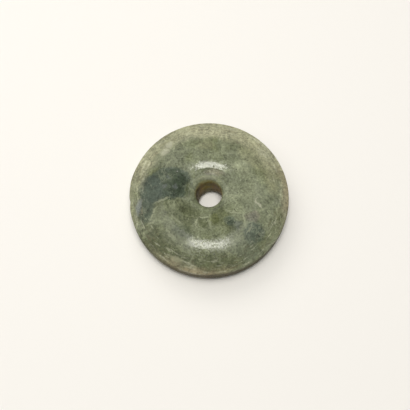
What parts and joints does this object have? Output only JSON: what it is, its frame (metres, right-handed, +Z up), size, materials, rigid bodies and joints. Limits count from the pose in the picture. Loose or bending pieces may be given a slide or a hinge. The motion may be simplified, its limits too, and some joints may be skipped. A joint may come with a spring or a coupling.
{
  "type": "chalcedony disc",
  "caption": "Round perforated disc of polished grey-green chalcedony, domed on both faces like a flattened ring, with a narrow rim band and a drilled hole for a cord or peg.",
  "frame": {"origin": "on the surface that the disc lies on, below the middle of its outline", "axes": "+Z up, along the bore; +X to the right and -Y towards the viewer of the picture"},
  "size_m": [0.05, 0.0498, 0.0112],
  "materials": {
    "stone": "polished, cloudy grey-green with slate-green and dark green patches, pale flecks and veins, and a pale weathered rim"
  },
  "bodies": {
    "root": {"stone_disc": "stone"}
  },
  "joints": []
}
